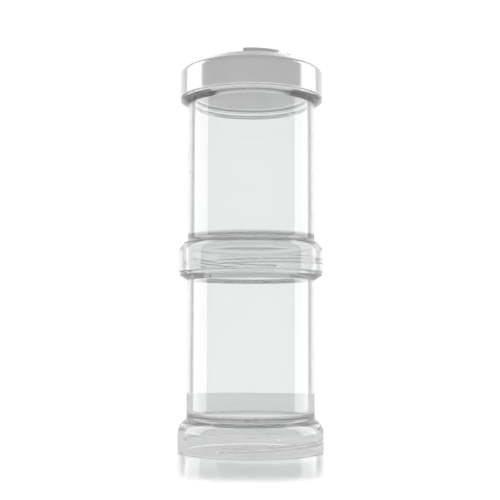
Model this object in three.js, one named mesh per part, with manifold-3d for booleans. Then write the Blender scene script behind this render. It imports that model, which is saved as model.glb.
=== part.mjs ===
// Stackable formula dispenser: two clear screw-together cups under a white screw lid.
// Units are millimetres, +Z is up, and the origin is the centre of the ring it stands on.
// Angles named "azimuth" are seen from above, anticlockwise from -Y (the front).

import * as THREE from 'three';
import { mergeVertices } from 'three/addons/utils/BufferGeometryUtils.js';
import Module from 'manifold-3d';

const wasm = await Module();
wasm.setup();

// Stack
const MODULE = 69.2; // rise from one skirt rim to the next
const SEAM_GAP = 0.3; // between a skirt or lid rim and the flange below it
const CLEARANCE = 0.3; // between a seal and the faces that it seals

// Tube and floor of a cup
const TUBE_RADIUS = 25.0;
const WALL = 2.1;
const BORE_RADIUS = TUBE_RADIUS - WALL;
const FLOOR_TOP = 13.8;
const FLOOR_FILLET = 1.5;
const PANEL_HEIGHT = FLOOR_TOP - WALL; // underside of the floor, inside the seal seat
const PANEL_RADIUS = 21.8;

// Skirt below the floor, which carries the female thread
const SKIRT_RADIUS = 28.3;
const SKIRT_BORE = 26.6;
const SHOULDER_START = 7.8;
const SHOULDER_RADIUS = 5.0;
const SHOULDER_BLEND = 1.2;
const RIM_ROUND = 0.5;
const BORE_CHAMFER = 0.4;

// Seat that a neck and its seal close against, in skirts and lid alike
const SEAT_HEIGHT = 10.9;
const SEAT_FILLET = 2.0;

// Flange and neck at the top of a cup, the neck measured above the seam
const FLANGE_RADIUS = 28.0;
const FLANGE_RIM = 0.9;
const FLANGE_CONE = 1.7;
const FLANGE_ROUND = 0.2;
const NECK_RADIUS = 25.1;
const NECK_HEIGHT = 9.3;
const NECK_OUTER_ROUND = 0.6;
const NECK_INNER_ROUND = 0.4;

// Two-start right-handed thread
const LEAD = 5.0; // rise in one full turn
const STARTS = 2;
const THREAD_SPAN = 122; // degrees covered by each ridge
const THREAD_AZIMUTH = -28; // where the first ridge begins
const FEMALE_START = 2.75; // height of the ridge's middle where it begins
const MALE_START = FEMALE_START + LEAD / STARTS / 2;
const RIDGE_ROOT = 1.9;
const RIDGE_CREST = 0.55;
const RIDGE_DEPTH = 1.05;
const RIDGE_SINK = 0.35; // how far a ridge's root reaches into its wall
const RIDGE_TAPER = 15; // degrees over which each end of a ridge fades out
const RIDGE_END = 0.13; // share of its full depth that a ridge keeps at its very end
const RIDGE_STEP = 7.5; // degrees from one cross-section to the next

// Lid, measured above its own rim
const LID_RADIUS = 28.4;
const LID_BAND = 9.1;
const LID_SHOULDER = 2.2;
const LID_SLOPE = 26; // degrees below horizontal of the cone above the shoulder
const CROWN_RADIUS = 17.6; // of the arc from the cone to the flat middle
const CROWN_EDGE = 20.8; // where the cone meets that arc
const CROWN_EDGE_HEIGHT = 14.2;
const CROWN_FLAT_SLOPE = 3;
const CROWN_TOP = 16.1;
const LID_WALL = 2.0;
const PLUG_RADIUS = BORE_RADIUS - CLEARANCE;
const PLUG_WALL = 1.4;
const PLUG_BOTTOM = 0.3;
const PLUG_ROUND = 0.4;

// Raised turn arrow on the lid
const ARROW_OUTER = 16.4;
const ARROW_INNER = 12.0;
const ARROW_TAIL = -102; // degrees anticlockwise from +X
const ARROW_NECK = 132;
const ARROW_TIP = 160;
const ARROW_BARB = 2.6; // how far the head is wider than the shaft, each side
const ARROW_BASE = 14.6;
const ARROW_TOP = 16.9;
const ARROW_SEGMENTS = 24;

// Seal ring
const SEAL_INNER = BORE_RADIUS;
const SEAL_OUTER = 24.9;
const SEAL_BOTTOM = NECK_HEIGHT + CLEARANCE;
const SEAL_TOP = SEAT_HEIGHT - CLEARANCE;

const LATHE_SEGMENTS = 48;

function point(radius, height) {
  return new THREE.Vector2(radius, height);
}

// Points along an arc in the radius-height plane, angles in degrees from the outward direction.
function arc(centreRadius, centreHeight, radius, from, to, steps) {
  const points = [];
  for (let i = 0; i <= steps; i += 1) {
    const angle = THREE.MathUtils.degToRad(from + ((to - from) * i) / steps);
    points.push(point(centreRadius + radius * Math.cos(angle), centreHeight + radius * Math.sin(angle)));
  }
  return points;
}

// Revolves an outline about +Z, with the lathe's first segment at azimuth 0.
function revolve(outline) {
  const geometry = new THREE.LatheGeometry(outline, LATHE_SEGMENTS);
  geometry.rotateX(Math.PI / 2);
  return geometry;
}

function toSolid(geometry) {
  const bare = geometry.clone();
  bare.deleteAttribute('normal');
  bare.deleteAttribute('uv');
  const merged = mergeVertices(bare, 1e-4);
  const triangles = [];
  const index = merged.index.array;
  for (let i = 0; i < index.length; i += 3) {
    const [a, b, c] = [index[i], index[i + 1], index[i + 2]];
    if (a !== b && b !== c && c !== a) {
      triangles.push(a, b, c);
    }
  }
  return new wasm.Manifold(
    new wasm.Mesh({
      numProp: 3,
      vertProperties: new Float32Array(merged.attributes.position.array),
      triVerts: new Uint32Array(triangles),
    }),
  );
}

function toGeometry(solid) {
  const mesh = solid.getMesh();
  const geometry = new THREE.BufferGeometry();
  geometry.setAttribute('position', new THREE.BufferAttribute(new Float32Array(mesh.vertProperties), 3));
  geometry.setIndex(new THREE.BufferAttribute(new Uint32Array(mesh.triVerts), 1));
  geometry.computeVertexNormals();
  return geometry;
}

// One helical ridge of trapezoidal section on a wall of the given radius.
// direction is +1 for a ridge that stands outwards and -1 for one that stands inwards.
function ridge(wallRadius, direction, startHeight, startAzimuth) {
  const stations = Math.ceil(THREAD_SPAN / RIDGE_STEP);
  const positions = [];
  const triangles = [];
  for (let i = 0; i <= stations; i += 1) {
    const along = (THREAD_SPAN * i) / stations;
    const azimuth = THREE.MathUtils.degToRad(startAzimuth + along);
    const middle = startHeight + (LEAD * along) / 360;
    const fromEnd = Math.min(along, THREAD_SPAN - along);
    const fade = Math.min(1, RIDGE_END + fromEnd / RIDGE_TAPER);
    const root = wallRadius - direction * RIDGE_SINK;
    const crest = wallRadius + direction * RIDGE_DEPTH * fade;
    const corners = [
      [root, -RIDGE_ROOT / 2],
      [crest, -RIDGE_CREST / 2],
      [crest, RIDGE_CREST / 2],
      [root, RIDGE_ROOT / 2],
    ];
    for (const [radius, offset] of corners) {
      positions.push(radius * Math.sin(azimuth), -radius * Math.cos(azimuth), middle + offset);
    }
  }
  const quad = (a, b, c, d) => {
    const corners = direction > 0 ? [a, b, c, a, c, d] : [a, c, b, a, d, c];
    triangles.push(...corners);
  };
  for (let i = 0; i < stations; i += 1) {
    for (let side = 0; side < 4; side += 1) {
      const next = (side + 1) % 4;
      quad(4 * i + side, 4 * i + 4 + side, 4 * i + 4 + next, 4 * i + next);
    }
  }
  const last = 4 * stations;
  quad(0, 1, 2, 3);
  quad(last + 3, last + 2, last + 1, last);
  const geometry = new THREE.BufferGeometry();
  geometry.setAttribute('position', new THREE.Float32BufferAttribute(positions, 3));
  geometry.setIndex(triangles);
  return geometry;
}

function addThread(solid, wallRadius, direction, startHeight) {
  let threaded = solid;
  for (let start = 0; start < STARTS; start += 1) {
    const azimuth = THREAD_AZIMUTH + (360 * start) / STARTS;
    threaded = threaded.add(toSolid(ridge(wallRadius, direction, startHeight, azimuth)));
  }
  return threaded;
}

// The threaded socket's outline from its seat down to the rim's flat, shared by cups and lid.
function socketOutline() {
  return [
    ...arc(SKIRT_BORE - SEAT_FILLET, SEAT_HEIGHT - SEAT_FILLET, SEAT_FILLET, 90, 0, 3),
    point(SKIRT_BORE, BORE_CHAMFER),
    point(SKIRT_BORE + BORE_CHAMFER, 0),
  ];
}

function containerGeometry() {
  const shoulderCentre = SKIRT_RADIUS - SHOULDER_RADIUS;
  const blendCentre = TUBE_RADIUS + SHOULDER_BLEND;
  const reach = SHOULDER_RADIUS + SHOULDER_BLEND;
  const shoulderSweep = THREE.MathUtils.radToDeg(Math.acos((blendCentre - shoulderCentre) / reach));
  const blendHeight = SHOULDER_START + reach * Math.sin(THREE.MathUtils.degToRad(shoulderSweep));
  const flangeTop = MODULE - SEAM_GAP;
  const coneTop = flangeTop - FLANGE_RIM;
  const neckTop = MODULE + NECK_HEIGHT;
  const outline = [
    point(0, PANEL_HEIGHT),
    point(PANEL_RADIUS, PANEL_HEIGHT),
    point(PANEL_RADIUS, SEAT_HEIGHT),
    ...socketOutline(),
    ...arc(SKIRT_RADIUS - RIM_ROUND, RIM_ROUND, RIM_ROUND, -90, 0, 2),
    ...arc(shoulderCentre, SHOULDER_START, SHOULDER_RADIUS, 0, shoulderSweep, 4),
    ...arc(blendCentre, blendHeight, SHOULDER_BLEND, 180 + shoulderSweep, 180, 2).slice(1),
    point(TUBE_RADIUS, coneTop - FLANGE_CONE),
    ...arc(FLANGE_RADIUS - FLANGE_ROUND, coneTop + FLANGE_ROUND, FLANGE_ROUND, -45, 0, 1),
    point(FLANGE_RADIUS, flangeTop - FLANGE_ROUND),
    point(FLANGE_RADIUS - FLANGE_ROUND, flangeTop),
    point(NECK_RADIUS, flangeTop),
    ...arc(NECK_RADIUS - NECK_OUTER_ROUND, neckTop - NECK_OUTER_ROUND, NECK_OUTER_ROUND, 0, 90, 2),
    ...arc(BORE_RADIUS + NECK_INNER_ROUND, neckTop - NECK_INNER_ROUND, NECK_INNER_ROUND, 90, 180, 1),
    ...arc(BORE_RADIUS - FLOOR_FILLET, FLOOR_TOP + FLOOR_FILLET, FLOOR_FILLET, 0, -90, 3),
    point(0, FLOOR_TOP),
  ];
  const withFemale = addThread(toSolid(revolve(outline)), SKIRT_BORE, -1, FEMALE_START);
  return toGeometry(addThread(withFemale, NECK_RADIUS, 1, MODULE + MALE_START));
}

// The crown's arc and flat middle, moved inwards by offset, from its edge to the axis.
function crownOutline(offset) {
  const slope = THREE.MathUtils.degToRad(LID_SLOPE);
  const centreRadius = CROWN_EDGE - CROWN_RADIUS * Math.sin(slope);
  const centreHeight = CROWN_EDGE_HEIGHT - CROWN_RADIUS * Math.cos(slope);
  return [
    ...arc(centreRadius, centreHeight, CROWN_RADIUS - offset, 90 - LID_SLOPE, 90 - CROWN_FLAT_SLOPE, 3),
    point(0, CROWN_TOP - offset),
  ];
}

function arrowGeometry() {
  const tail = THREE.MathUtils.degToRad(ARROW_TAIL);
  const neck = THREE.MathUtils.degToRad(ARROW_NECK);
  const tip = THREE.MathUtils.degToRad(ARROW_TIP);
  const tipRadius = (ARROW_OUTER + ARROW_INNER) / 2;
  const barbOuter = ARROW_OUTER + ARROW_BARB;
  const barbInner = ARROW_INNER - ARROW_BARB;
  const shape = new THREE.Shape();
  shape.absarc(0, 0, ARROW_OUTER, tail, neck, false);
  shape.lineTo(barbOuter * Math.cos(neck), barbOuter * Math.sin(neck));
  shape.lineTo(tipRadius * Math.cos(tip), tipRadius * Math.sin(tip));
  shape.lineTo(barbInner * Math.cos(neck), barbInner * Math.sin(neck));
  shape.absarc(0, 0, ARROW_INNER, neck, tail, true);
  shape.closePath();
  const geometry = new THREE.ExtrudeGeometry(shape, {
    depth: ARROW_TOP - ARROW_BASE,
    bevelEnabled: false,
    curveSegments: ARROW_SEGMENTS,
  });
  geometry.translate(0, 0, ARROW_BASE);
  return geometry;
}

function lidGeometry() {
  const plugBore = PLUG_RADIUS - PLUG_WALL;
  const shoulderCentre = LID_RADIUS - LID_SHOULDER;
  const underside = crownOutline(LID_WALL);
  const plugRootHeight =
    underside[0].y - (plugBore - underside[0].x) * Math.tan(THREE.MathUtils.degToRad(LID_SLOPE));
  const outline = [
    ...underside.slice().reverse(),
    point(plugBore, plugRootHeight),
    ...arc(plugBore + PLUG_ROUND, PLUG_BOTTOM + PLUG_ROUND, PLUG_ROUND, 180, 270, 1),
    ...arc(PLUG_RADIUS - PLUG_ROUND, PLUG_BOTTOM + PLUG_ROUND, PLUG_ROUND, 270, 360, 1),
    point(PLUG_RADIUS, SEAT_HEIGHT),
    ...socketOutline(),
    ...arc(LID_RADIUS - RIM_ROUND, RIM_ROUND, RIM_ROUND, -90, 0, 2),
    ...arc(shoulderCentre, LID_BAND, LID_SHOULDER, 0, 90 - LID_SLOPE, 4),
    ...crownOutline(0),
  ];
  const threaded = addThread(toSolid(revolve(outline)), SKIRT_BORE, -1, FEMALE_START);
  return toGeometry(threaded.add(toSolid(arrowGeometry())));
}

function sealGeometry() {
  const outline = [
    point(SEAL_INNER, SEAL_BOTTOM),
    point(SEAL_OUTER, SEAL_BOTTOM),
    point(SEAL_OUTER, SEAL_TOP),
    point(SEAL_INNER, SEAL_TOP),
    point(SEAL_INNER, SEAL_BOTTOM),
  ];
  return revolve(outline);
}

const clearPlastic = { color: 0xe8eced, roughness: 0.06, metalness: 0, transparent: true, opacity: 0.3 };
const whitePlastic = { color: 0xf1f1f0, roughness: 0.22, metalness: 0 };
const clearSilicone = { color: 0xdfe4e6, roughness: 0.45, metalness: 0, transparent: true, opacity: 0.6 };

function place(parent, name, geometry, look, height) {
  const mesh = new THREE.Mesh(geometry, new THREE.MeshStandardMaterial(look));
  mesh.name = name;
  mesh.position.z = height;
  parent.add(mesh);
}

const dispenser = new THREE.Group();
const container = containerGeometry();
const seal = sealGeometry();
place(dispenser, 'lower_container', container, clearPlastic, 0);
place(dispenser, 'base_seal', seal, clearSilicone, 0);
place(dispenser, 'upper_container', container, clearPlastic, MODULE);
place(dispenser, 'stack_seal', seal, clearSilicone, MODULE);
place(dispenser, 'lid', lidGeometry(), whitePlastic, 2 * MODULE);
place(dispenser, 'lid_seal', seal, clearSilicone, 2 * MODULE);

export default dispenser;
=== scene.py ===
"""Looks of a stackable formula dispenser: two clear screw-together cups under a white screw lid.

Sizes of the pieces are millimetres, those of the finishes and the studio are metres, and angles are
degrees. Azimuths are seen from above, anticlockwise from -Y, the front.
"""

import logging
import math
from dataclasses import astuple, dataclass, field
from enum import Enum
from typing import Any, Mapping, Optional, Sequence, Union

import bmesh
import bpy
from mathutils import Matrix, Vector
from mathutils.geometry import tessellate_polygon


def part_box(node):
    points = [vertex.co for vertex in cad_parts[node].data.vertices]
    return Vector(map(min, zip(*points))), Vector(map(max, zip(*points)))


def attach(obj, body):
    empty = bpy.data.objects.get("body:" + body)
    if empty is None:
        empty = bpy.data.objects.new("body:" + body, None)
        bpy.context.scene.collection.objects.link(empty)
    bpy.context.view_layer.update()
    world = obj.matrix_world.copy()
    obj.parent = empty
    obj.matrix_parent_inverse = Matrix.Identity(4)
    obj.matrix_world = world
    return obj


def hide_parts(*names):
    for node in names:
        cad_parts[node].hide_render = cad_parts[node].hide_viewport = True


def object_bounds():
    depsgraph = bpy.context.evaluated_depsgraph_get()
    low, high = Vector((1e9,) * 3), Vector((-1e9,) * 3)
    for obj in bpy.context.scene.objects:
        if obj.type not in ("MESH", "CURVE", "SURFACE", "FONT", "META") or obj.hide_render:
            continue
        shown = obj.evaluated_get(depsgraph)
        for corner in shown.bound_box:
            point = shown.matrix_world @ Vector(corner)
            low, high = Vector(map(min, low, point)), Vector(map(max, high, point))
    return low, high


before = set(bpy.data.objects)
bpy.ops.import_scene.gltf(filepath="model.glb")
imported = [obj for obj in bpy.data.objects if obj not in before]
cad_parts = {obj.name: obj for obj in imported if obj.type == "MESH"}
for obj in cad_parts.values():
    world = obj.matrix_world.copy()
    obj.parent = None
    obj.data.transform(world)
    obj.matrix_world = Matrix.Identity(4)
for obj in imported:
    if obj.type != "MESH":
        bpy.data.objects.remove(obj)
CAD_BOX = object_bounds()

MM = 0.001
log = logging.getLogger("dispenser")

Colour = tuple[float, float, float, float]
Value = Union[float, bool, str, Sequence[float], bpy.types.Node, "Wire"]


class Side(Enum):
    """The way a thread ridge stands out of its wall. Outlines run up outer walls and down inner ones."""

    OUTWARD = 1.0
    INWARD = -1.0


class Wire:
    """An output socket of a node tree, on which arithmetic adds Math nodes."""

    def __init__(self, tree: "Tree", socket: bpy.types.NodeSocket) -> None:
        """Wraps an output socket of a tree."""
        self.tree = tree
        self.socket = socket

    def math(self, operation: str, *others: Value, clamp: bool = False) -> "Wire":
        """Adds a Math node whose first value is this socket."""
        return self.tree.math(operation, self, *others, clamp=clamp)

    def __add__(self, other: Value) -> "Wire":
        """Adds."""
        return self.math("ADD", other)

    __radd__ = __add__

    def __sub__(self, other: Value) -> "Wire":
        """Subtracts."""
        return self.math("SUBTRACT", other)

    def __rsub__(self, other: Value) -> "Wire":
        """Subtracts from a number."""
        return self.tree.math("SUBTRACT", other, self)

    def __mul__(self, other: Value) -> "Wire":
        """Multiplies."""
        return self.math("MULTIPLY", other)

    __rmul__ = __mul__

    def __truediv__(self, other: Value) -> "Wire":
        """Divides."""
        return self.math("DIVIDE", other)

    def __rtruediv__(self, other: Value) -> "Wire":
        """Divides a number."""
        return self.tree.math("DIVIDE", other, self)

    def clamped(self) -> "Wire":
        """Keeps the value from 0 to 1."""
        return self.math("ADD", 0.0, clamp=True)

    def eased(self) -> "Wire":
        """Turns a rise from 0 to 1 into a smooth one."""
        rise = self.clamped()
        return rise * rise * (3.0 - 2.0 * rise)

    def ramp(self, low: Value, high: Value) -> "Wire":
        """Maps 0 to 1 onto low to high."""
        return self * (high - low) + low


@dataclass(frozen=True)
class Grain:
    """A noise, and the stretch of its values that counts as 0 to 1."""

    scale: float
    detail: float = 3.0
    roughness: float = 0.5
    start: float = 0.0
    end: float = 1.0


class Tree:
    """A node tree, and the one way in which this script adds nodes to it."""

    def __init__(self, tree: bpy.types.NodeTree) -> None:
        """Wraps the node tree to build in."""
        self.tree = tree

    def node(
        self,
        kind: str,
        inputs: Optional[Mapping[Union[str, int], Value]] = None,
        settings: Optional[Mapping[str, Any]] = None,
    ) -> bpy.types.Node:
        """Adds one node.

        Args:
            kind: the node's type name.
            inputs: a value or a wire for each input, by the socket's name or index.
            settings: properties, which are set first.

        Returns:
            The node.
        """
        node = self.tree.nodes.new(kind)
        for name, value in (settings or {}).items():
            setattr(node, name, value)
        for key, value in (inputs or {}).items():
            self.join(value, node.inputs[key])
        return node

    def join(self, value: Value, socket: bpy.types.NodeSocket) -> None:
        """Links a wire to an input, or sets the input's value.

        Args:
            value: a wire, a node whose first output is meant, or a plain value.
            socket: the input socket.
        """
        if isinstance(value, bpy.types.Node):
            value = self.wire(value)
        if isinstance(value, Wire):
            self.tree.links.new(value.socket, socket)
        else:
            socket.default_value = value

    def wire(self, node: bpy.types.Node, output: Union[str, int] = 0) -> Wire:
        """Wraps a node's output."""
        return Wire(self, node.outputs[output])

    def math(self, operation: str, *values: Value, clamp: bool = False) -> Wire:
        """Adds a Math node with its values in order."""
        settings = {"operation": operation, "use_clamp": clamp}
        return self.wire(self.node("ShaderNodeMath", dict(enumerate(values)), settings))

    def mix_colour(self, factor: Value, first: Value, second: Value) -> Wire:
        """Mixes two colours, of which the factor is the second one's share."""
        node = self.node("ShaderNodeMix", {0: factor, 6: first, 7: second}, {"data_type": "RGBA"})
        return self.wire(node, 2)

    def vector(self, operation: str, *values: Value, output: str = "Value") -> Wire:
        """Adds a Vector Math node with its values in order, and wraps the named output."""
        node = self.node("ShaderNodeVectorMath", dict(enumerate(values)), {"operation": operation})
        return self.wire(node, output)


class Paint:
    """A surface material under construction, with its Principled shader."""

    def __init__(self, name: str) -> None:
        """Starts a material.

        Args:
            name: the material's name.
        """
        self.material = bpy.data.materials.new(name)
        self.material.use_nodes = True
        self.material.node_tree.nodes.clear()
        self.tree = Tree(self.material.node_tree)
        self.output = self.tree.node("ShaderNodeOutputMaterial")
        self.place = self.tree.wire(self.tree.node("ShaderNodeTexCoord"), "Object")

    def noise(self, grain: Grain) -> Wire:
        """Adds a Noise Texture.

        Args:
            grain: its cells per metre, octaves, roughness and stretch.

        Returns:
            The noise, 0 where its stretch starts and 1 where it ends.
        """
        inputs = {"Scale": grain.scale, "Detail": grain.detail, "Roughness": grain.roughness}
        node = self.tree.node("ShaderNodeTexNoise", {"Vector": self.place, **inputs})
        return (self.tree.wire(node, "Fac") - grain.start) / (grain.end - grain.start)

    def finish(
        self,
        inputs: Mapping[str, Value],
        relief: Optional[Wire] = None,
        depth: float = 0.0,
        lets_light: bool = False,
    ) -> None:
        """Adds the Principled shader and the output.

        Args:
            inputs: the shader's values and links.
            relief: the height that dents the surface, or None.
            depth: how far the relief goes, in metres.
            lets_light: whether light from the lamps reaches what is behind the surface.
        """
        tree = self.tree
        surface = tree.node("ShaderNodeBsdfPrincipled", inputs)
        if relief is not None:
            dents = {"Strength": 1.0, "Distance": depth, "Height": relief}
            tree.join(tree.node("ShaderNodeBump", dents), surface.inputs["Normal"])
        if lets_light:
            shadow = tree.wire(tree.node("ShaderNodeLightPath"), "Is Shadow Ray")
            clear = tree.node("ShaderNodeBsdfTransparent")
            surface = tree.node("ShaderNodeMixShader", {0: shadow, 1: surface, 2: clear})
        tree.join(surface, self.output.inputs["Surface"])

    def absorb(self, colour: Sequence[float], density: float) -> None:
        """Makes light fade towards a colour along its way inside the piece."""
        fading = self.tree.node("ShaderNodeVolumeAbsorption", {"Color": colour, "Density": density})
        self.tree.join(fading, self.output.inputs["Volume"])


@dataclass(frozen=True)
class ClearMoulding:
    """Clear, colourless cup plastic with a moulder's polish."""

    name: str = "clear_moulding"
    index: float = 1.49
    clearness: float = 0.965
    polish: float = 0.012
    haze: float = 0.05
    tint: Colour = (0.915, 0.92, 0.92, 1.0)
    body: Colour = (0.90, 0.91, 0.91, 1.0)
    depth_colour: Colour = (0.50, 0.51, 0.51, 1.0)
    depth_density: float = 22.0
    flow: Grain = Grain(38.0, 2.0, 0.5, 0.35, 0.85)
    smudges: Grain = Grain(210.0, 5.0, 0.62, 0.55, 0.8625)
    waves: Grain = Grain(55.0, 1.0)
    wave_depth: float = 0.00003

    def material(self) -> bpy.types.Material:
        """Builds the material: faint handling haze, and the slow waves of a moulded wall.

        Returns:
            The material.
        """
        paint = Paint(self.name)
        tree = paint.tree
        inputs = {
            "Base Color": tree.mix_colour(paint.noise(self.flow).clamped(), self.tint, self.body),
            "Roughness": paint.noise(self.smudges).eased().ramp(self.polish, self.haze),
            "IOR": self.index,
            "Transmission Weight": self.clearness,
        }
        paint.finish(inputs, paint.noise(self.waves), self.wave_depth, lets_light=True)
        paint.absorb(self.depth_colour, self.depth_density)
        return paint.material


@dataclass(frozen=True)
class WhiteMoulding:
    """Opaque white lid plastic, glossy over a very fine grain."""

    name: str = "white_moulding"
    pale: Colour = (0.71, 0.71, 0.705, 1.0)
    deep: Colour = (0.67, 0.675, 0.675, 1.0)
    # painted light: the whiter colour given to the lid's inner surfaces
    painted_light_white: Colour = (0.97, 0.97, 0.965, 1.0)
    inside_radius: float = 0.0269
    inside_height: float = 0.0135
    inside_shoulder: float = 0.0208
    inside_slope: float = 0.49
    inside_edge: float = 0.0004
    gloss: float = 0.14
    dull: float = 0.24
    index: float = 1.6
    shine: float = 0.9
    coat_roughness: float = 0.04
    coat_index: float = 1.55
    bleed: float = 0.2
    bleed_radius: tuple[float, float, float] = (1.0, 1.0, 0.96)
    bleed_depth: float = 0.002
    flow: Grain = Grain(60.0, 3.0, 0.5, 0.3, 0.7)
    wear: Grain = Grain(420.0, 5.0, 0.65, 0.4, 0.8)
    texture: Grain = Grain(2600.0, 2.0)
    texture_depth: float = 0.000012

    def material(self) -> bpy.types.Material:
        """Builds the material: flow marks in the colour, inner surfaces painted whiter as painted light on
        the lid's underside, and a fine grain under a glossy coat.

        Returns:
            The material.
        """
        paint = Paint(self.name)
        tree = paint.tree
        outside_tone = tree.mix_colour(paint.noise(self.flow).clamped(), self.pale, self.deep)
        inputs = {
            # painted light: the inner surfaces take the whiter colour, the outside keeps its flow-marked tone
            "Base Color": tree.mix_colour(self._painted_light_mask(paint), outside_tone, self.painted_light_white),
            "Roughness": paint.noise(self.wear).eased().ramp(self.gloss, self.dull),
            "IOR": self.index,
            "Specular IOR Level": self.shine,
            "Coat Weight": 1.0,
            "Coat Roughness": self.coat_roughness,
            "Coat IOR": self.coat_index,
            "Subsurface Weight": self.bleed,
            "Subsurface Radius": self.bleed_radius,
            "Subsurface Scale": self.bleed_depth,
        }
        paint.finish(inputs, paint.noise(self.texture), self.texture_depth)
        return paint.material

    def _painted_light_mask(self, paint: Paint) -> Wire:
        """Marks the lid's inner surfaces, which are painted whiter than the outside: painted light that
        stands in for light reaching the lid's underside.

        Args:
            paint: the material under construction.

        Returns:
            1 on the inner surfaces and 0 elsewhere.
        """
        tree = paint.tree
        flat = tree.vector("MULTIPLY", paint.place, (1.0, 1.0, 0.0), output="Vector")
        reach = tree.vector("LENGTH", flat)
        height = tree.vector("DOT_PRODUCT", paint.place, (0.0, 0.0, 1.0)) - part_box("lid")[0].z
        beyond = (reach - self.inside_shoulder).math("MAXIMUM", 0.0)
        ceiling = self.inside_height - beyond * self.inside_slope
        below = ((ceiling - height) / self.inside_edge).clamped()
        return below * ((self.inside_radius - reach) / self.inside_edge).clamped()


@dataclass(frozen=True)
class SealSilicone:
    """Translucent silicone of the seal rings."""

    name: str = "seal_silicone"
    milky: Colour = (0.97, 0.975, 0.98, 1.0)
    cloudy: Colour = (0.93, 0.94, 0.945, 1.0)
    index: float = 1.42
    satin: float = 0.10
    matt: float = 0.18
    clouds: Grain = Grain(140.0, 4.0, 0.5, 0.3, 0.7545)
    pits: Grain = Grain(1500.0, 3.0, 0.6)
    pit_depth: float = 0.00002

    def material(self) -> bpy.types.Material:
        """Builds the material: cloudy patches and a satin, slightly pitted skin.

        Returns:
            The material.
        """
        paint = Paint(self.name)
        tree = paint.tree
        clouds = paint.noise(self.clouds).clamped()
        pits = paint.noise(self.pits)
        inputs = {
            "Base Color": tree.mix_colour(clouds, self.milky, self.cloudy),
            "Roughness": pits.eased().ramp(self.satin, self.matt),
            "IOR": self.index,
            "Transmission Weight": 1.0,
        }
        paint.finish(inputs, pits, self.pit_depth, lets_light=True)
        return paint.material


@dataclass(frozen=True)
class StudioFloor:
    """Pale table top: it mirrors the foot of the stack, glows softly into the cups and lights the lid."""

    name: str = "studio_floor"
    pale: Colour = (1.0, 1.0, 1.0, 1.0)
    worn: Colour = (0.97, 0.97, 0.97, 1.0)
    dim: Colour = (0.40, 0.40, 0.40, 1.0)
    mottle: Grain = Grain(9.0)
    smooth: float = 0.16
    rough: float = 0.20
    gleam: float = 0.91
    gleam_radius: float = 0.070
    gleam_fade: float = 0.042
    glance_start: float = 0.70
    glance_fade: float = 0.14
    lift: Colour = (0.8, 0.8, 0.8, 1.0)
    foot_lift: Colour = (0.0, 0.0, 0.0, 1.0)
    glow: Colour = (0.53, 0.53, 0.53, 1.0)
    # painted shadow: the dimmer glow that the cups see of the floor under the foot of the stack
    shade: Colour = (0.33, 0.33, 0.33, 1.0)
    shade_radius: float = 0.024
    shade_fade: float = 0.022
    fill: Colour = (1.65, 1.65, 1.65, 1.0)
    far_fill: Colour = (0.50, 0.50, 0.50, 1.0)
    fill_radius: float = 0.11
    fill_fade: float = 0.09

    def material(self) -> bpy.types.Material:
        """Builds the material: white and level, with a gleaming patch round the foot of the stack, a painted
        shadow under the foot in the glow that the cups see, and a brighter glow near the stack that lights
        the lid.

        Returns:
            The material.
        """
        paint = Paint(self.name)
        tree = paint.tree
        patch = paint.noise(self.mottle)
        path = tree.node("ShaderNodeLightPath")
        direct = tree.wire(path, "Is Camera Ray")
        reach = tree.vector("LENGTH", paint.place)
        facing = tree.wire(tree.node("ShaderNodeLayerWeight"), "Facing")
        glance = ((facing - self.glance_start) / self.glance_fade).eased()
        near = (1.0 - ((reach - self.gleam_radius) / self.gleam_fade).eased()) * glance
        # painted shadow: under the foot of the stack the glow seen through the cups drops from glow to shade
        clear_of_foot = ((reach - self.shade_radius) / self.shade_fade).eased()
        far = ((reach - self.fill_radius) / self.fill_fade).eased()
        bounced = tree.wire(path, "Diffuse Depth").clamped()
        through = tree.mix_colour(clear_of_foot, self.shade, self.glow)
        glow = tree.mix_colour(bounced, through, tree.mix_colour(far, self.fill, self.far_fill))
        lift = tree.mix_colour(near, self.lift, self.foot_lift)
        inputs = {
            "Base Color": tree.mix_colour(direct, self.dim, tree.mix_colour(patch, self.pale, self.worn)),
            "Metallic": direct * near * self.gleam,
            "Roughness": patch.ramp(self.smooth, self.rough),
            "Specular IOR Level": 0.0,
            "Emission Color": tree.mix_colour(direct, glow, lift),
            "Emission Strength": 1.0,
        }
        paint.finish(inputs)
        return paint.material


@dataclass(frozen=True)
class Thread:
    """The two-start right-handed thread that every neck and socket shares."""

    lead: float = 5.0
    starts: int = 2
    span: float = 122.0
    first: float = -28.0
    lead_in: float = 5.0
    run_out: float = 24.0
    root: float = 1.9
    crest: float = 0.55
    depth: float = 1.05
    margin: float = 0.25
    band_rows: int = 33
    ease_rows: int = 6

    def height(self, offset: float) -> float:
        """Works out how far the ridge stands out.

        Args:
            offset: a height above or below its middle line.

        Returns:
            How far it stands out there.
        """
        flank = (self.root - self.crest) / 2
        rise = min(1.0, max(0.0, (self.root / 2 - abs(offset)) / flank))
        return self.depth * rise * rise * (3 - 2 * rise)


@dataclass
class Row:
    """One ring of a turned body: its radius and height, its ridge and how far it follows the thread."""

    radius: float
    height: float
    ridge: float = 0.0
    follow: float = 0.0


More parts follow.
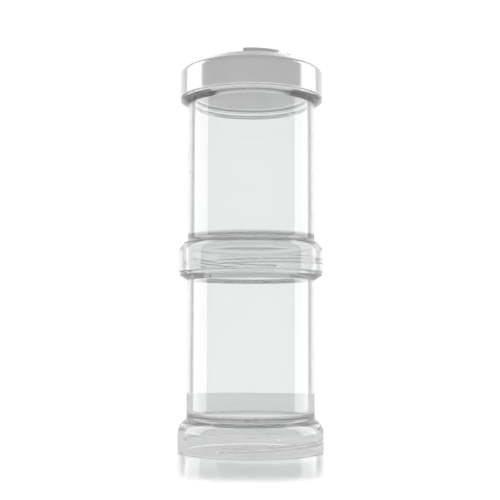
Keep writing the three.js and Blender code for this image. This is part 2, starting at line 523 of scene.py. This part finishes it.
class Outline:
    """The section of a turned body, walked row by row."""

    EDGE = 0.22
    LONG_RUN = 3 * EDGE
    SAME_POINT = 1e-6
    DEGREES = 9.0
    FEWEST_STEPS = 3

    def __init__(self) -> None:
        """Starts an empty outline."""
        self.rows: list[Row] = []

    def to(self, radius: float, height: float) -> None:
        """Runs straight to a point, with a row close to each end so that it shades flat.

        Args:
            radius: the point's radius.
            height: the point's height.
        """
        if self.rows:
            last = self.rows[-1]
            run = math.hypot(radius - last.radius, height - last.height)
            if run < self.SAME_POINT:
                return
            if run > self.LONG_RUN:
                for share in (self.EDGE / run, 1 - self.EDGE / run):
                    between = last.radius + (radius - last.radius) * share
                    self.rows.append(Row(between, last.height + (height - last.height) * share))
        self.rows.append(Row(radius, height))

    def arc(self, radius: float, height: float, size: float, start: float, end: float) -> None:
        """Runs to an arc and along it.

        Args:
            radius: the arc centre's radius.
            height: the arc centre's height.
            size: the arc's own radius.
            start: the angle of its first point, in degrees from outward towards up.
            end: the angle of its last point.
        """
        steps = max(self.FEWEST_STEPS, math.ceil(abs(end - start) / self.DEGREES))
        for step in range(steps + 1):
            angle = math.radians(start + (end - start) * step / steps)
            at = (radius + size * math.cos(angle), height + size * math.sin(angle))
            if step == 0:
                self.to(*at)
            else:
                self.rows.append(Row(*at))

    def corner(self, radius: float, height: float, size: float, start: float, end: float) -> None:
        """Rounds the square corner at a point with an arc of a size, between two angles as in arc."""
        across, up = (sum(map(turn, map(math.radians, (start, end)))) for turn in (math.cos, math.sin))
        self.arc(radius - size * across, height - size * up, size, start, end)

    def thread(self, wall: float, low: float, high: float, middle: float, thread: Thread, side: Side) -> None:
        """Runs along a threaded wall.

        Args:
            wall: the wall's radius.
            low: the lowest height of the threaded stretch.
            high: its highest height.
            middle: the height of the ridge's middle line where it begins.
            thread: the thread.
            side: the way its ridges stand.
        """
        half = thread.root / 2 + thread.margin
        foot, head = middle - half, middle + half
        shares = [step / thread.ease_rows for step in range(thread.ease_rows + 1)]
        rows = [Row(wall, low + (foot - low) * share, 0.0, share) for share in shares[:-1]]
        for step in range(thread.band_rows + 1):
            offset = half * (2 * step / thread.band_rows - 1)
            rows.append(Row(wall, middle + offset, side.value * thread.height(offset), 1.0))
        rows += [Row(wall, head + (high - head) * share, 0.0, 1.0 - share) for share in shares[1:]]
        if side is Side.INWARD:
            rows.reverse()
        self.to(rows[0].radius, rows[0].height)
        self.rows.extend(rows[1:])

    def mesh(self, name: str) -> bpy.types.Mesh:
        """Writes the outline as a chain of edges with its ridge and follow values on its points.

        Args:
            name: the mesh's name.

        Returns:
            The mesh, in metres, in the XZ plane.
        """
        mesh = bpy.data.meshes.new(name)
        points = [(row.radius * MM, 0.0, row.height * MM) for row in self.rows]
        mesh.from_pydata(points, [(i, i + 1) for i in range(len(points) - 1)], [])
        for key, scale in (("ridge", MM), ("follow", 1.0)):
            layer = mesh.attributes.new(key, "FLOAT", "POINT")
            layer.data.foreach_set("value", [getattr(row, key) * scale for row in self.rows])
        return mesh


class Lathe:
    """Geometry Nodes that turn an outline about +Z and raise the helical ridges of a thread."""

    KINDS = {int: "NodeSocketInt", float: "NodeSocketFloat"}
    WELD = 1e-6

    def __init__(self, thread: Thread, segments: int = 240) -> None:
        """Builds the node group.

        Args:
            thread: the thread whose ridges it raises.
            segments: how many flats go round a body.
        """
        self.values: dict[str, Value] = {
            "Segments": segments,
            "Starts": thread.starts,
            "Seam height": 0.0,
            "Lead": thread.lead * MM,
            "Ridge span": math.radians(thread.span),
            "First ridge": math.radians(thread.first),
            "Ridge lead-in": math.radians(thread.lead_in),
            "Ridge run-out": math.radians(thread.run_out),
        }
        self.group = bpy.data.node_groups.new("turned_body", "GeometryNodeTree")
        sockets = self.group.interface
        sockets.new_socket("Geometry", in_out="INPUT", socket_type="NodeSocketGeometry")
        for name, value in self.values.items():
            sockets.new_socket(name, in_out="INPUT", socket_type=self.KINDS[type(value)])
        sockets.new_socket("Material", in_out="INPUT", socket_type="NodeSocketMaterial")
        sockets.new_socket("Geometry", in_out="OUTPUT", socket_type="NodeSocketGeometry")
        self._build(Tree(self.group))

    def _read(self, tree: Tree, name: str) -> Wire:
        """Reads a value that the outline's points carry."""
        node = tree.node("GeometryNodeInputNamedAttribute", {"Name": name}, {"data_type": "FLOAT"})
        return tree.wire(node)

    def _keep(self, tree: Tree, geometry: Value, values: Mapping[str, Wire]) -> tuple[Wire, ...]:
        """Captures values on points, so that they outlive a change of shape.

        Args:
            tree: the group's tree.
            geometry: what they are captured on.
            values: each value by name.

        Returns:
            The geometry, then the values in order.
        """
        node = tree.node("GeometryNodeCaptureAttribute", settings={"domain": "POINT"})
        for name in values:
            node.capture_items.new("FLOAT", name)
        tree.join(geometry, node.inputs["Geometry"])
        for name, value in values.items():
            tree.join(value, node.inputs[name])
        return tuple(tree.wire(node, name) for name in ("Geometry", *values))

    def _helix(self, tree: Tree, inputs: bpy.types.Node, azimuth: Wire) -> tuple[Wire, Wire]:
        """Works out the thread at an azimuth.

        Args:
            tree: the group's tree.
            inputs: the group's input node.
            azimuth: the angle round the axis.

        Returns:
            The ridge's rise there, and the share of its full depth that it has there.
        """
        span = tree.wire(inputs, "Ridge span")
        pitch_angle = math.tau / tree.wire(inputs, "Starts")
        turned = azimuth - tree.wire(inputs, "First ridge") + math.tau
        along = turned.math("MODULO", pitch_angle)
        run_back = ((along - span) / (pitch_angle - span)).eased()
        rise = along.math("MINIMUM", span) * tree.wire(inputs, "Lead") / math.tau * (1.0 - run_back)
        lead_in = (along / tree.wire(inputs, "Ridge lead-in")).eased()
        run_out = ((span - along) / tree.wire(inputs, "Ridge run-out")).eased()
        return rise, lead_in * run_out

    def _build(self, tree: Tree) -> None:
        """Builds the nodes.

        Args:
            tree: the group's tree.
        """
        inputs = tree.node("NodeGroupInput")
        segments = tree.wire(inputs, "Segments")
        place = tree.node("ShaderNodeSeparateXYZ", {0: tree.node("GeometryNodeInputPosition")})
        section, radius, height, ridge, follow = self._keep(
            tree,
            tree.wire(inputs, "Geometry"),
            {
                "radius": tree.wire(place, "X"),
                "height": tree.wire(place, "Z"),
                "ridge_height": self._read(tree, "ridge"),
                "ridge_follow": self._read(tree, "follow"),
            },
        )
        circle = tree.node("GeometryNodeCurvePrimitiveCircle", {"Resolution": segments, "Radius": 1.0})
        angle = tree.wire(tree.node("GeometryNodeInputIndex")) * math.tau / segments
        ring, azimuth = self._keep(tree, circle, {"azimuth": angle})
        profile = tree.node("GeometryNodeMeshToCurve", {"Mesh": section})
        swept = tree.node("GeometryNodeCurveToMesh", {"Curve": ring, "Profile Curve": profile})
        rise, fade = self._helix(tree, inputs, azimuth)
        reach = radius + ridge * fade
        spot = {
            "X": reach * azimuth.math("SINE"),
            "Y": -1.0 * reach * azimuth.math("COSINE"),
            "Z": height + tree.wire(inputs, "Seam height") + follow * rise,
        }
        position = tree.node("ShaderNodeCombineXYZ", spot)
        placed = tree.node("GeometryNodeSetPosition", {"Geometry": swept, "Position": position})
        closed = tree.node("GeometryNodeMergeByDistance", {"Geometry": placed, "Distance": self.WELD})
        smooth = tree.node("GeometryNodeSetShadeSmooth", {"Geometry": closed, "Shade Smooth": True})
        real = tree.node("GeometryNodeRealizeInstances", {"Geometry": smooth})
        material = tree.wire(inputs, "Material")
        dressed = tree.node("GeometryNodeSetMaterial", {"Geometry": real, "Material": material})
        tree.node("NodeGroupOutput", {"Geometry": dressed})

    def turn(
        self, name: str, outline: Outline, seam: float, material: bpy.types.Material
    ) -> bpy.types.Object:
        """Turns an outline into a closed piece.

        Args:
            name: the piece's name.
            outline: its section, with heights above its own seam.
            seam: the height of that seam.
            material: its finish.

        Returns:
            The piece, as a plain mesh object at the origin.
        """
        values = {**self.values, "Seam height": seam * MM, "Material": material}
        blank = bpy.data.objects.new(name + "_outline", outline.mesh(name + "_outline"))
        bpy.context.scene.collection.objects.link(blank)
        modifier = blank.modifiers.new("turn", "NODES")
        modifier.node_group = self.group
        for item in self.group.interface.items_tree:
            if item.in_out == "INPUT" and item.name in values:
                modifier[item.identifier] = values[item.name]
        bpy.context.view_layer.update()
        evaluated = blank.evaluated_get(bpy.context.evaluated_depsgraph_get())
        mesh = bpy.data.meshes.new_from_object(evaluated)
        mesh.name = name
        blank.modifiers.remove(modifier)
        bpy.data.objects.remove(blank)
        for key in ("ridge", "follow"):
            if key in mesh.attributes:
                mesh.attributes.remove(mesh.attributes[key])
        face_outward(mesh)
        piece = bpy.data.objects.new(name, mesh)
        bpy.context.scene.collection.objects.link(piece)
        return piece


def face_outward(mesh: bpy.types.Mesh) -> None:
    """Turns a closed mesh's faces outwards and shades them smooth.

    Args:
        mesh: the mesh, changed in place.
    """
    shape = bmesh.new()
    shape.from_mesh(mesh)
    bmesh.ops.recalc_face_normals(shape, faces=shape.faces)
    if shape.calc_volume(signed=True) < 0:
        bmesh.ops.reverse_faces(shape, faces=shape.faces)
    for face in shape.faces:
        face.smooth = True
    shape.to_mesh(mesh)
    shape.free()


def report(piece: bpy.types.Object, body: str, node: str) -> None:
    """Gives a finished piece its body, hides the CAD node that it stands for, and logs it.

    Args:
        piece: the piece.
        body: the body that it rides on.
        node: the CAD node that it stands for.
    """
    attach(piece, body)
    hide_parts(node)
    log.info("%s: %d faces on %s for %s", piece.name, len(piece.data.polygons), body, node)


@dataclass
class Socket:
    """The threaded hollow that cups and lid share, above their own rim."""

    bore: float = 26.6
    chamfer: float = 0.35
    seat: float = 10.9
    fillet: float = 2.0
    ridge_start: float = 2.75
    land: float = 0.45

    def trace(self, outline: Outline, thread: Thread) -> None:
        """Walks from the seat down to the rim's flat.

        Args:
            outline: the outline so far, at the seat.
            thread: the female thread.
        """
        outline.corner(self.bore, self.seat, self.fillet, 90, 0)
        outline.thread(
            self.bore,
            self.chamfer + self.land,
            self.seat - self.fillet - self.land,
            self.ridge_start,
            thread,
            Side.INWARD,
        )
        outline.corner(self.bore, 0.0, self.chamfer, 180, 270)


@dataclass
class Turned:
    """A turned piece, with the sizes that the frame settles."""

    name: str
    node: str
    body: str
    slot: str
    seam: float = field(init=False)
    radius: float = field(init=False)
    top: float = field(init=False)

    def __post_init__(self) -> None:
        """Reads where its seam is, how wide it is and how far it reaches above its seam."""
        low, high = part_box(self.node)
        self.seam = low.z / MM
        self.radius = (high.x - low.x) / MM / 2
        self.top = (high.z - low.z) / MM

    def outline(self) -> Outline:
        """Walks the whole section, with heights above the seam."""
        raise NotImplementedError

    def build(self, lathe: Lathe, finish: bpy.types.Material) -> None:
        """Turns the piece on the lathe, dressed in its finish, and hands it to its body."""
        piece = lathe.turn(self.name, self.outline(), self.seam, finish)
        report(piece, self.body, self.node)


@dataclass
class Cup(Turned):
    """One clear moulding: tube, floor, threaded skirt, flange and threaded neck."""

    thread: Thread
    socket: Socket
    module: float
    tube_radius: float = 25.0
    wall: float = 2.1
    floor_top: float = 13.8
    floor_fillet: float = 1.5
    panel_radius: float = 21.8
    gate_radius: float = 1.6
    gate_depth: float = 0.35
    shoulder_start: float = 7.8
    shoulder_radius: float = 5.0
    blend: float = 1.2
    rim_round: float = 0.5
    flange_radius: float = 28.0
    flange_rim: float = 0.9
    flange_cone: float = 1.7
    seam_gap: float = 0.3
    edge: float = 0.22
    neck_radius: float = 25.1
    neck_round: float = 0.6
    lip_round: float = 0.4

    def _skirt(self, outline: Outline) -> None:
        """Walks up the outside from the rim to the tube.

        Args:
            outline: the outline so far.
        """
        centre = self.radius - self.shoulder_radius
        blend_centre = self.tube_radius + self.blend
        reach = self.shoulder_radius + self.blend
        sweep = math.degrees(math.acos((blend_centre - centre) / reach))
        blend_height = self.shoulder_start + reach * math.sin(math.radians(sweep))
        outline.corner(self.radius, 0.0, self.rim_round, -90, 0)
        outline.arc(centre, self.shoulder_start, self.shoulder_radius, 0, sweep)
        outline.arc(blend_centre, blend_height, self.blend, 180 + sweep, 180)

    def _flange(self, outline: Outline) -> None:
        """Walks over the flange and up the threaded neck to its lip.

        Args:
            outline: the outline so far.
        """
        top = self.module - self.seam_gap
        cone_top = top - self.flange_rim
        edge = self.edge
        slope = math.degrees(math.atan2(self.flange_cone, self.flange_radius - self.tube_radius))
        outline.arc(self.tube_radius + edge, cone_top - self.flange_cone - edge, edge, 180, 90 + slope)
        outline.arc(self.flange_radius - edge, cone_top + edge, edge, slope - 90, 0)
        outline.corner(self.flange_radius, top, edge, 0, 90)
        outline.corner(self.neck_radius, top, edge, 270, 180)
        outline.thread(
            self.neck_radius,
            top + 2 * edge,
            self.top - self.neck_round - edge,
            self.module + self.socket.ridge_start + self.thread.lead / self.thread.starts / 2,
            self.thread,
            Side.OUTWARD,
        )
        outline.corner(self.neck_radius, self.top, self.neck_round, 0, 90)

    def outline(self) -> Outline:
        """Walks the whole section, from under the floor round to its upper side.

        Returns:
            The outline.
        """
        bore = self.tube_radius - self.wall
        panel = self.floor_top - self.wall
        outline = Outline()
        outline.to(0.0, panel + self.gate_depth)
        outline.corner(self.gate_radius, panel + self.gate_depth, self.edge, 90, 0)
        outline.corner(self.gate_radius, panel, self.edge, 180, 270)
        outline.corner(self.panel_radius, panel, self.edge, 90, 0)
        outline.corner(self.panel_radius, self.socket.seat, self.edge, 180, 270)
        self.socket.trace(outline, self.thread)
        self._skirt(outline)
        self._flange(outline)
        outline.corner(bore, self.top, self.lip_round, 90, 180)
        outline.corner(bore, self.floor_top, self.floor_fillet, 0, -90)
        outline.to(0.0, self.floor_top)
        return outline


@dataclass
class Lid(Turned):
    """The white screw lid: band, shoulder, crown and plug ring."""

    thread: Thread
    socket: Socket
    band: float = 9.1
    shoulder: float = 2.2
    slope: float = 26.0
    crown_radius: float = 17.6
    crown_edge: float = 20.8
    crown_edge_height: float = 14.2
    crown_flat: float = 3.0
    crown_top: float = 16.1
    crown_reach: float = 0.66
    crown_rows: int = 5
    wall: float = 2.0
    plug_radius: float = 22.6
    plug_wall: float = 1.4
    plug_bottom: float = 0.3
    plug_round: float = 0.45
    rim_round: float = 0.5
    edge: float = 0.22

    def crown_centre(self) -> tuple[float, float]:
        """Works out the centre of the crown's arc.

        Returns:
            Its radius and its height.
        """
        slope = math.radians(self.slope)
        return (
            self.crown_edge - self.crown_radius * math.sin(slope),
            self.crown_edge_height - self.crown_radius * math.cos(slope),
        )

    def crown_height(self, radius: float) -> float:
        """Works out the height of the crown's upper side.

        Args:
            radius: how far from the axis.

        Returns:
            The height there.
        """
        centre, level = self.crown_centre()
        flat_edge = centre + self.crown_radius * math.sin(math.radians(self.crown_flat))
        if radius > flat_edge:
            return level + math.sqrt(self.crown_radius**2 - (radius - centre) ** 2)
        edge_height = level + self.crown_radius * math.cos(math.radians(self.crown_flat))
        return self.crown_top + (edge_height - self.crown_top) * (radius / flat_edge) ** 2

    def outline(self) -> Outline:
        """Walks the whole section, from under the crown round to its top.

        Returns:
            The outline.
        """
        centre, level = self.crown_centre()
        plug_bore = self.plug_radius - self.plug_wall
        inner = self.crown_radius - self.wall
        steep = 90 - self.slope
        flat = 90 - self.crown_flat
        slope = math.radians(self.slope)
        cone_start = centre + inner * math.sin(slope)
        cone_height = level + inner * math.cos(slope)
        root_height = cone_height - (plug_bore - cone_start) * math.tan(slope)
        outline = Outline()
        outline.to(0.0, self.crown_top - self.wall)
        outline.arc(centre, level, inner, flat, steep)
        outline.to(plug_bore - self.edge, root_height + self.edge * math.tan(slope))
        outline.to(plug_bore, root_height - self.edge)
        outline.corner(plug_bore, self.plug_bottom, self.plug_round, 180, 270)
        outline.corner(self.plug_radius, self.plug_bottom, self.plug_round, 270, 360)
        outline.corner(self.plug_radius, self.socket.seat, self.edge, 180, 90)
        self.socket.trace(outline, self.thread)
        outline.corner(self.radius, 0.0, self.rim_round, -90, 0)
        outline.arc(self.radius - self.shoulder, self.band, self.shoulder, 0, steep)
        outline.arc(centre, level, self.crown_radius, steep, flat)
        for step in range(self.crown_rows - 1, -1, -1):
            radius = self.crown_edge * self.crown_reach * step / self.crown_rows
            outline.rows.append(Row(radius, self.crown_height(radius)))
        return outline


@dataclass
class TurnArrow:
    """The raised arrow on the crown that shows which way the lid opens."""

    FOOT_ANGLES = (0, 30, 60, 90)
    EDGE_ANGLES = (0, 22, 45, 67, 90)

    lid: Lid
    outer: float = 16.4
    inner: float = 12.0
    tail: float = -102.0
    neck: float = 132.0
    tip: float = 160.0
    barb: float = 2.6
    corner: float = 1.2
    foot: float = 0.3
    sink: float = 0.5
    edge: float = 0.3
    land: float = 0.05
    arc_steps: int = 72
    corner_steps: int = 8
    least_spread: float = 0.6

    def _plan(self) -> list[Vector]:
        """Lays out the arrow seen from above, anticlockwise, with its corners rounded.

        Returns:
            The points of its edge.
        """
        middle = (self.outer + self.inner) / 2

        def at(radius: float, degrees: float) -> Vector:
            """A point at a radius and an angle from +X."""
            angle = math.radians(degrees)
            return Vector((radius * math.cos(angle), radius * math.sin(angle)))

        sweep = self.neck - self.tail
        steps = range(self.arc_steps + 1)
        outside = [at(self.outer, self.tail + sweep * i / self.arc_steps) for i in steps]
        inside = [at(self.inner, self.neck - sweep * i / self.arc_steps) for i in steps]
        barbs = at(self.outer + self.barb, self.neck), at(self.inner - self.barb, self.neck)
        head = [barbs[0], at(middle, self.tip), barbs[1]]
        plan = outside + head + inside
        first, last = self.arc_steps, self.arc_steps + len(head) + 1
        return self._rounded(plan, {0, *range(first, last + 1), len(plan) - 1})

    def _rounded(self, plan: Sequence[Vector], sharp: set[int]) -> list[Vector]:
        """Rounds the named corners of a closed plan with arcs.

        Args:
            plan: the corners.
            sharp: the indices of those to round.

        Returns:
            The rounded plan.
        """
        result: list[Vector] = []
        for i, corner in enumerate(plan):
            if i not in sharp:
                result.append(corner)
                continue
            before, after = plan[i - 1] - corner, plan[(i + 1) % len(plan)] - corner
            cut = min(self.corner, before.length / 2, after.length / 2)
            before.normalize()
            after.normalize()
            bisector = (before + after).normalized()
            centre = corner + bisector * (cut / bisector.dot(before))
            start, end = corner + before * cut - centre, corner + after * cut - centre
            turn = -start.angle_signed(end)
            for step in range(self.corner_steps + 1):
                spoke = start.copy()
                spoke.rotate(Matrix.Rotation(turn * step / self.corner_steps, 2))
                result.append(centre + spoke)
        return result

    def _grown(self, plan: Sequence[Vector], offset: float) -> list[Vector]:
        """Moves a closed plan outwards by an offset.

        Args:
            plan: the points, anticlockwise.
            offset: how far, negative for inwards.

        Returns:
            The moved points.
        """
        grown: list[Vector] = []
        for i, point in enumerate(plan):
            ahead = (plan[(i + 1) % len(plan)] - point).normalized()
            behind = (point - plan[i - 1]).normalized()
            along = (ahead + behind).normalized()
            outward = Vector((along.y, -along.x))
            stretch = 1 / max(self.least_spread, outward.dot(Vector((ahead.y, -ahead.x))))
            grown.append(point + outward * (offset * stretch))
        return grown

    def _layers(self) -> list[tuple[float, float, bool]]:
        """Lists the rings up its side, which make a fillet at its foot and a rounded upper edge.

        Returns:
            For each ring, how far it grows outwards, its height, and whether that is above the crown
            beneath it or above the lid's top.
        """
        layers = [(self.foot, -self.sink, True)]
        for angle in map(math.radians, self.FOOT_ANGLES):
            layers.append((self.foot * (1 - math.sin(angle)), self.foot * (1 - math.cos(angle)), True))
        for angle in map(math.radians, self.EDGE_ANGLES):
            layers.append((-self.edge * (1 - math.cos(angle)), -self.edge * (1 - math.sin(angle)), False))
        return [*layers, (-self.edge - self.land, 0.0, False)]

    def build(self, finish: bpy.types.Material) -> None:
        """Builds the arrow as a skin over its rings, closed below and above.

        Args:
            finish: the white plastic.
        """
        plan = self._plan()
        shape = bmesh.new()
        rings: list[list[bmesh.types.BMVert]] = []
        for offset, level, on_crown in self._layers():
            ring = []
            for point in self._grown(plan, offset):
                base = self.lid.crown_height(point.length) if on_crown else self.lid.top
                spot = Vector((*point, self.lid.seam + base + level))
                ring.append(shape.verts.new(spot * MM))
            rings.append(ring)
        for lower, upper in zip(rings, rings[1:]):
            for i, vert in enumerate(lower):
                j = (i + 1) % len(lower)
                shape.faces.new((vert, lower[j], upper[j], upper[i]))
        for ring in (rings[0], rings[-1]):
            for triangle in tessellate_polygon([[Vector((v.co.x, v.co.y, 0.0)) for v in ring]]):
                shape.faces.new([ring[corner] for corner in triangle])
        mesh = bpy.data.meshes.new("turn_arrow")
        shape.to_mesh(mesh)
        shape.free()
        face_outward(mesh)
        mesh.materials.append(finish)
        piece = bpy.data.objects.new("turn_arrow", mesh)
        bpy.context.scene.collection.objects.link(piece)
        report(piece, self.lid.body, self.lid.node)


@dataclass
class SealRing(Turned):
    """A silicone ring with two soft lips on each face."""

    inner: float
    lip: float = 0.12
    lips: int = 2
    edge: float = 0.16
    rows_per_lip: int = 9

    def outline(self) -> Outline:
        """Walks the ring's section.

        Returns:
            The closed outline.
        """
        lips = self._lips()
        outline = Outline()
        outline.corner(self.inner, 0.0, self.edge, 180, 270)
        outline.rows += lips
        outline.corner(self.radius, 0.0, self.edge, 270, 360)
        outline.corner(self.radius, self.top, self.edge, 0, 90)
        outline.rows += [Row(row.radius, self.top - row.height) for row in reversed(lips)]
        outline.corner(self.inner, self.top, self.edge, 90, 180)
        outline.to(self.inner, self.edge)
        return outline

    def _lips(self) -> list[Row]:
        """Lays out the lower face, which dips up into the ring between its lips.

        Returns:
            The rows, from the inner edge outwards.
        """
        near, far = self.inner + 2 * self.edge, self.radius - 2 * self.edge
        count = self.lips * self.rows_per_lip
        rows = []
        for share in (step / count for step in range(count + 1)):
            dip = self.lip * (1 - math.cos(math.tau * self.lips * share)) / 2
            rows.append(Row(near + (far - near) * share, dip))
        return rows


@dataclass(frozen=True)
class Zone:
    """The bright wall behind: the cosines at which it starts and is full, and the sine of its top."""

    start: float
    full: float
    top: float
    fade: float


@dataclass
class Studio:
    """Floor, soft boxes, surroundings and camera."""

    ZENITH_GUARD = 0.0001

    camera_distance: float = 0.420
    camera_height: float = 0.0436
    camera_aside: float = -0.0004
    camera_pitch: float = 4.73
    camera_roll: float = 0.15
    lens: float = 77.0
    sensor: float = 36.0
    floor_radius: float = 0.45
    floor_sides: int = 128
    box_azimuth: float = 98.9
    box_width: float = 0.14722
    box_distance: float = 0.22
    box_low: float = 0.002
    box_high: float = 0.36
    box_brightness: float = 3.3
    backdrop: float = 1.05
    behind: float = 1.13
    around: float = 0.53
    shine: float = 0.97
    wall: Zone = Zone(0.74, 0.955, 0.29, 0.17)
    mirrored_wall: Zone = Zone(0.30, 0.85, 0.40, 0.28)
    bounces: int = 24

    def add_floor(self) -> None:
        """Adds the pale round floor at the level that the stack stands on."""
        level = CAD_BOX[0][2]
        angles = [math.tau * i / self.floor_sides for i in range(self.floor_sides)]
        rim = [(self.floor_radius * math.cos(a), self.floor_radius * math.sin(a), level) for a in angles]
        mesh = bpy.data.meshes.new("floor")
        mesh.from_pydata(rim, [], [range(self.floor_sides)])
        mesh.materials.append(StudioFloor().material())
        floor = bpy.data.objects.new("floor", mesh)
        bpy.context.scene.collection.objects.link(floor)

    def add_soft_boxes(self) -> None:
        """Adds a tall soft box on each side, a little behind the object, that shows as highlights."""
        height = self.box_high - self.box_low
        for side, name in ((1, "soft_box_right"), (-1, "soft_box_left")):
            lamp = bpy.data.lights.new(name, "AREA")
            lamp.shape = "RECTANGLE"
            lamp.size = self.box_width
            lamp.size_y = height
            lamp.energy = self.box_brightness * math.pi * self.box_width * height
            box = bpy.data.objects.new(name, lamp)
            azimuth = math.radians(side * self.box_azimuth)
            box.location = (
                self.box_distance * math.sin(azimuth),
                -self.box_distance * math.cos(azimuth),
                (self.box_low + self.box_high) / 2,
            )
            box.rotation_euler = (math.pi / 2, 0.0, azimuth)
            box.visible_camera = False
            box.visible_diffuse = False
            box.visible_transmission = False
            bpy.context.scene.collection.objects.link(box)

    def set_world(self) -> None:
        """Surrounds the object with soft grey light, brighter behind, in front of a white backdrop."""
        world = bpy.data.worlds.new("studio")
        bpy.context.scene.world = world
        world.use_nodes = True
        world.node_tree.nodes.clear()
        tree = Tree(world.node_tree)
        direction = tree.wire(tree.node("ShaderNodeTexCoord"), "Generated")
        path = tree.node("ShaderNodeLightPath")
        mirrored = tree.wire(path, "Is Glossy Ray") * (1.0 - tree.wire(path, "Is Transmission Ray"))
        pairs = zip(astuple(self.wall), astuple(self.mirrored_wall))
        start, full, top, fade = (mirrored.ramp(plain, shiny) for plain, shiny in pairs)
        upward = tree.vector("DOT_PRODUCT", direction, (0.0, 0.0, 1.0))
        level_run = (1.0 + self.ZENITH_GUARD - upward * upward).math("SQRT")
        ahead = tree.vector("DOT_PRODUCT", direction, (0.0, 1.0, 0.0)) / level_run
        share = ((ahead - start) / (full - start)).eased() * (1.0 - ((upward - top) / fade).eased())
        light = share.ramp(self.around, mirrored.ramp(self.behind, self.behind * self.shine))
        strength = tree.wire(path, "Is Camera Ray").ramp(light, self.backdrop)
        shine = tree.node("ShaderNodeBackground", {"Color": (1, 1, 1, 1), "Strength": strength})
        tree.node("ShaderNodeOutputWorld", {"Surface": shine})

    def add_camera(self) -> None:
        """Adds the camera in front of the object, a little above the floor, looking slightly up."""
        data = bpy.data.cameras.new("camera")
        data.lens = self.lens
        data.sensor_width = self.sensor
        camera = bpy.data.objects.new("camera", data)
        place = Matrix.Translation((self.camera_aside, -self.camera_distance, self.camera_height))
        tilt = Matrix.Rotation(math.radians(90 + self.camera_pitch), 4, "X")
        roll = Matrix.Rotation(math.radians(self.camera_roll), 4, "Z")
        camera.matrix_world = place @ tilt @ roll
        bpy.context.scene.collection.objects.link(camera)
        bpy.context.scene.camera = camera

    def build(self) -> None:
        """Builds the whole studio."""
        self.add_camera()
        self.add_floor()
        self.add_soft_boxes()
        self.set_world()
        scene = bpy.context.scene
        scene.view_settings.view_transform = "Standard"
        scene.cycles.max_bounces = self.bounces
        scene.cycles.glossy_bounces = self.bounces
        scene.cycles.transmission_bounces = self.bounces


def main() -> None:
    """Builds every piece, then the studio."""
    logging.basicConfig(level=logging.INFO, format="%(name)s: %(message)s")
    thread = Thread()
    socket = Socket()
    lathe = Lathe(thread)
    clear = ClearMoulding().material()
    white = WhiteMoulding().material()
    silicone = SealSilicone().material()
    module = (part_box("upper_container")[0].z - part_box("lower_container")[0].z) / MM
    cups = [
        Cup("lower_cup", "lower_container", "lower", "clear_plastic", thread, socket, module),
        Cup("upper_cup", "upper_container", "upper", "clear_plastic", thread, socket, module),
    ]
    for cup in cups:
        cup.build(lathe, clear)
    bore = cups[0].tube_radius - cups[0].wall
    for name, node, body in (
        ("base_ring", "base_seal", "lower"),
        ("stack_ring", "stack_seal", "stack_ring"),
        ("lid_ring", "lid_seal", "lid_ring"),
    ):
        SealRing(name, node, body, "seal_silicone", bore).build(lathe, silicone)
    lid = Lid("screw_lid", "lid", "lid", "white_plastic", thread, socket)
    lid.build(lathe, white)
    TurnArrow(lid).build(white)
    Studio().build()


if __name__ == "__main__":
    main()
